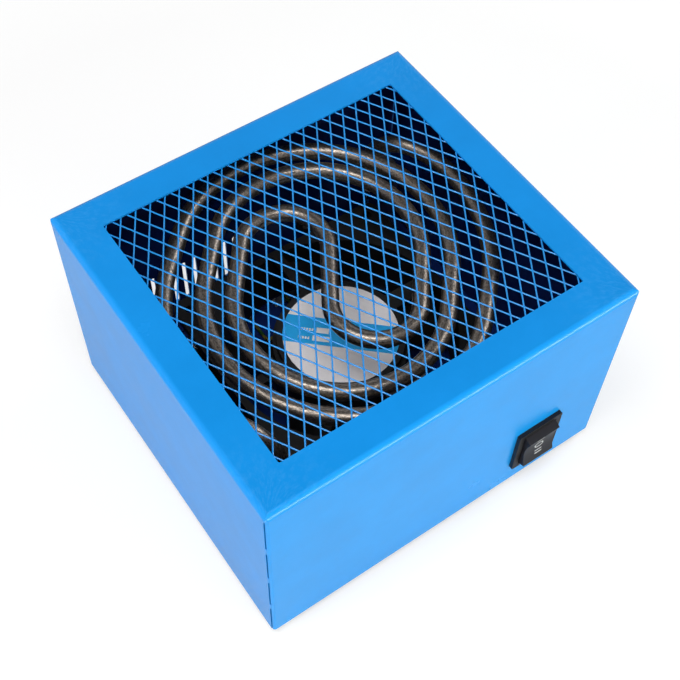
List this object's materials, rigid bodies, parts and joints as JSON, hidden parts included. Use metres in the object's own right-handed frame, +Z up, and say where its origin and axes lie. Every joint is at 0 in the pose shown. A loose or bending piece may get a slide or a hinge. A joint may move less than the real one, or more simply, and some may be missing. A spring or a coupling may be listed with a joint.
{
  "type": "watch dryer",
  "caption": "Box-shaped bench dryer for watches: a fan in a blue steel case blows air up past a bent tubular heater and out through a mesh window, worked by a rocker switch.",
  "frame": {"origin": "middle of the case's footprint, on the surface that its feet stand on", "axes": "+Z up towards the mesh window, -Y towards the front panel with the switch, +X to the right as seen from the front"},
  "size_m": [0.19, 0.1835, 0.125],
  "materials": {
    "blue_paint": "semi-gloss powder coat",
    "zinc_steel": "bright zinc plate",
    "foot_rubber": "matt",
    "fan_cast": "satin black",
    "core_steel": "laminated, oiled",
    "copper_wire": "enamelled",
    "polished_steel": "ground",
    "label_film": "printed film",
    "fan_plastic": "moulded",
    "heater_sheath": "heat-tinted",
    "ferrule_brass": "turned",
    "ceramic": "glazed steatite",
    "switch_plastic": "fine-textured",
    "rocker_plastic": "satin",
    "bush_plastic": "moulded",
    "block_plastic": "moulded",
    "live_insulation": "smooth insulation",
    "neutral_insulation": "smooth insulation",
    "earth_insulation": "green and yellow insulation"
  },
  "bodies": {
    "case": {"housing_shell": "blue_paint", "mesh_guard": "blue_paint", "bottom_cover": "blue_paint", "cover_screws": "zinc_steel", "foot_screws": "zinc_steel", "fan_screws": "zinc_steel", "fan_nuts": "zinc_steel", "bracket_screws": "zinc_steel", "block_screws": "zinc_steel", "pole_screws": "zinc_steel", "earth_screw": "zinc_steel", "earth_nut": "zinc_steel", "fan_spacers": "zinc_steel", "heater_brackets": "zinc_steel", "feet": "foot_rubber", "fan_frame": "fan_cast", "fan_stator": "core_steel", "fan_windings": "copper_wire", "fan_bearings": "polished_steel", "heater_pins": "polished_steel", "fan_label": "label_film", "heater_tube": "heater_sheath", "heater_ferrules": "ferrule_brass", "heater_nuts": "ferrule_brass", "switch_terminals": "ferrule_brass", "fan_terminals": "ferrule_brass", "earth_tag": "ferrule_brass", "heater_insulators": "ceramic", "switch_housing": "switch_plastic", "inlet_bush": "bush_plastic", "terminal_block": "block_plastic", "live_leads": "live_insulation", "neutral_leads": "neutral_insulation", "earth_lead": "earth_insulation"},
    "rotor": {"fan_rotor": "fan_plastic", "fan_rotor_ring": "core_steel", "fan_shaft": "polished_steel"},
    "rocker": {"switch_rocker": "rocker_plastic"}
  },
  "joints": [
    {"name": "fan_spin", "type": "hinge", "parent": "case", "child": "rotor", "pos_m": [0.002, 0, 0.04], "axis": [0, 0, 1], "continuous": true},
    {"name": "rocker_tilt", "type": "hinge", "parent": "case", "child": "rocker", "pos_m": [0.0534, -0.0865, 0.0362], "axis": [1, 0, 0], "range_deg": [-10, 10]}
  ]
}
